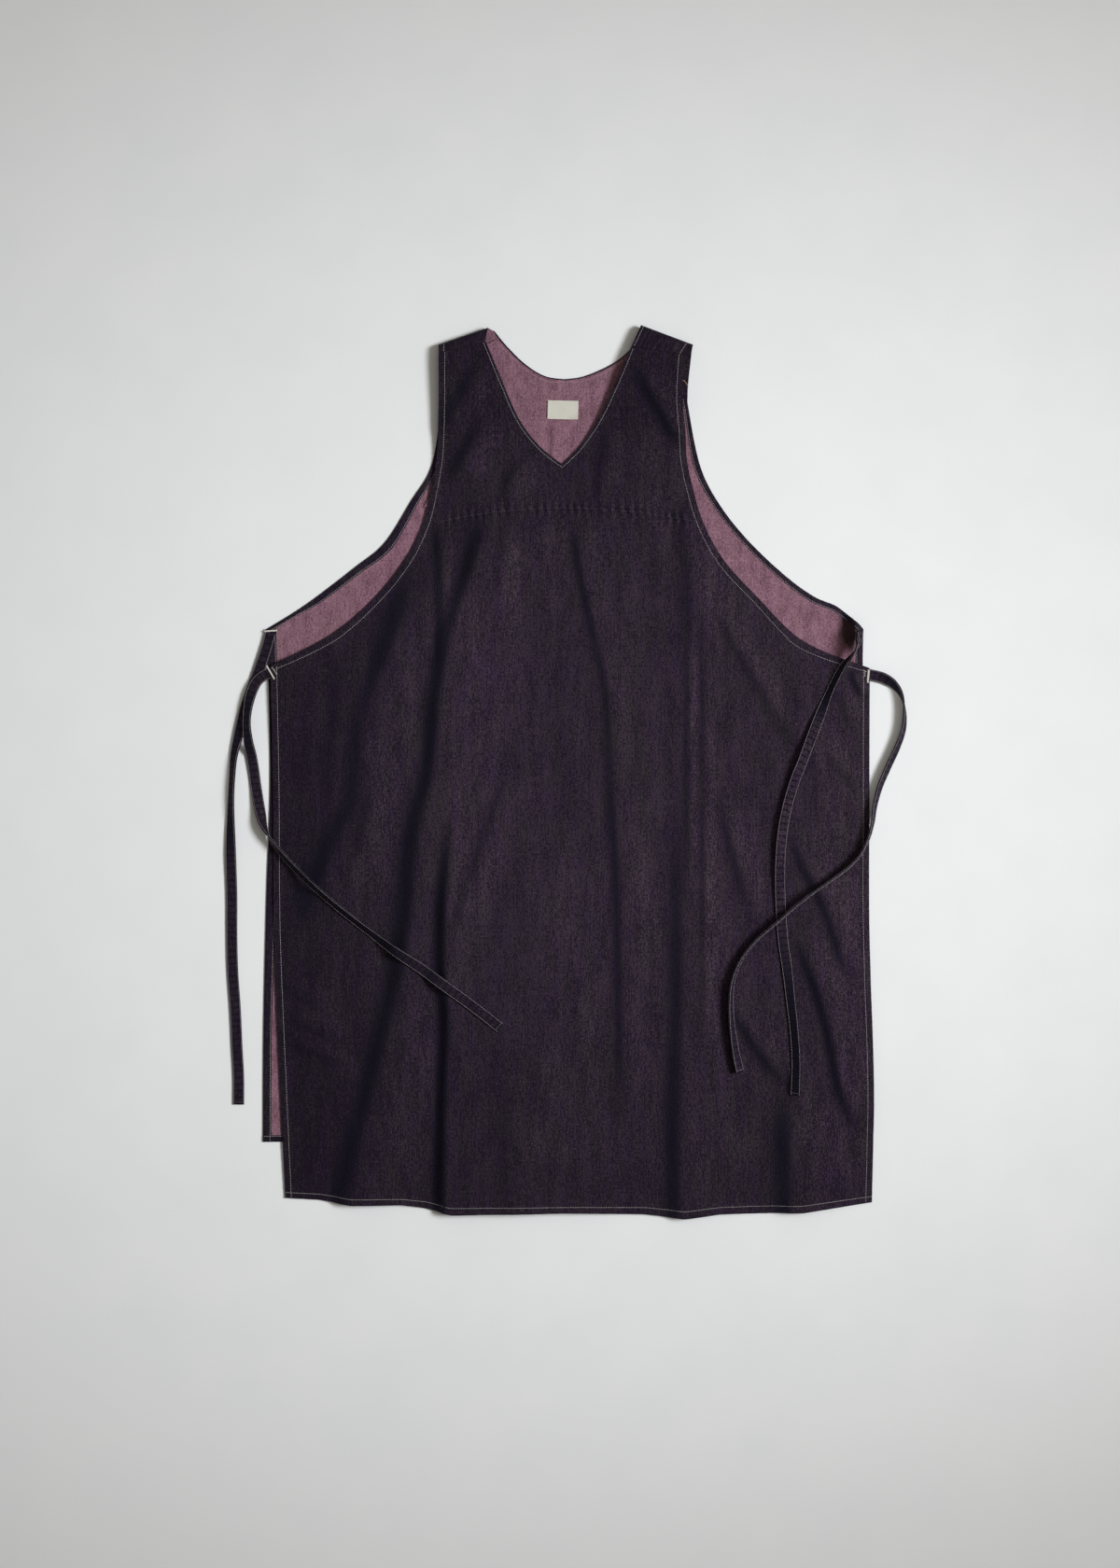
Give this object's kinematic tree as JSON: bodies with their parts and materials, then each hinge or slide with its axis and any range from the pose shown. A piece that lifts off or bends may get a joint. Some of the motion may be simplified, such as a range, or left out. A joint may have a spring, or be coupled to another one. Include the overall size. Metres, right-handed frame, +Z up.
{
  "type": "wrap apron",
  "caption": "Pull-over cloth apron lying flat: V-neck front and round-neck back joined over the shoulders, deep armholes, open sides, a faced neck with a plain label, and sewn side ties.",
  "frame": {"origin": "centre of the apron's box without its ties, on the surface that it lies on", "axes": "+Y from the hem to the shoulders, +X to the right as seen from above, +Z up out of the front"},
  "size_m": [0.802, 1.0511, 0.0261],
  "materials": {
    "outer_cloth": "matt woven cloth, dark warp with navy, purple and brown streaks",
    "inner_cloth": "matt woven cloth, dusty pink reverse",
    "label_weave": "plain off-white woven tape",
    "thread": "off-white sewing thread"
  },
  "bodies": {
    "root": {"front_panel": "outer_cloth", "back_panel": "outer_cloth", "back_neck_facing": "inner_cloth", "neck_label": "label_weave", "tie_front_left": "outer_cloth", "tie_front_right": "outer_cloth", "tie_back_left": "outer_cloth", "tie_back_right": "outer_cloth"}
  },
  "joints": []
}
